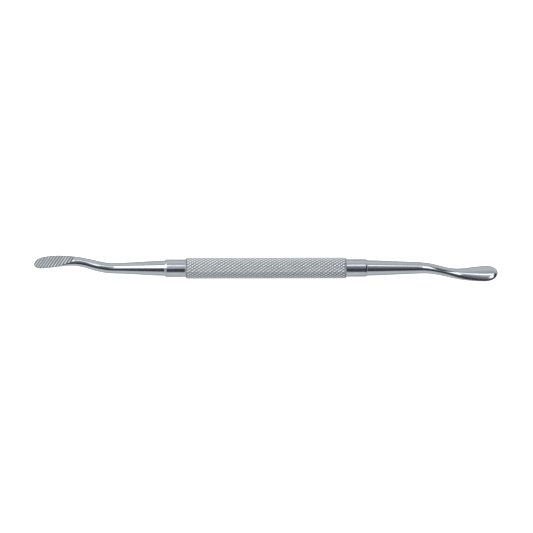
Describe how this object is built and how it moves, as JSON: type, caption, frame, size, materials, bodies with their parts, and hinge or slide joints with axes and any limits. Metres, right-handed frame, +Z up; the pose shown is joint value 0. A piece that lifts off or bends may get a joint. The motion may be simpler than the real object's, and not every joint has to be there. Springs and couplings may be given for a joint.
{
  "type": "double-ended bone file",
  "caption": "Slim double-ended steel file with a knurled round grip, tapered bent shanks and spoon-shaped blades with slanting teeth.",
  "frame": {"origin": "middle of the grip, on its axis, which is the grip's radius above the table that the tool lies on", "axes": "+X along the grip towards the large file end, +Z up from the table, so the small end's file face looks up and the large end's looks down"},
  "size_m": [0.1739, 0.0101, 0.0081],
  "materials": {
    "knurled_steel": "stainless steel, diamond knurled, satin",
    "turned_steel": "stainless steel, fine turned and polished",
    "forged_steel": "stainless steel, polished, with ground and cut file faces",
    "braze": "silver braze, wiped smooth"
  },
  "bodies": {
    "root": {"grip_tube": "knurled_steel", "small_end_collar": "turned_steel", "large_end_collar": "turned_steel", "small_file_end": "forged_steel", "large_file_end": "forged_steel", "small_end_grip_braze": "braze", "large_end_grip_braze": "braze", "small_end_tang_braze": "braze", "large_end_tang_braze": "braze"}
  },
  "joints": []
}
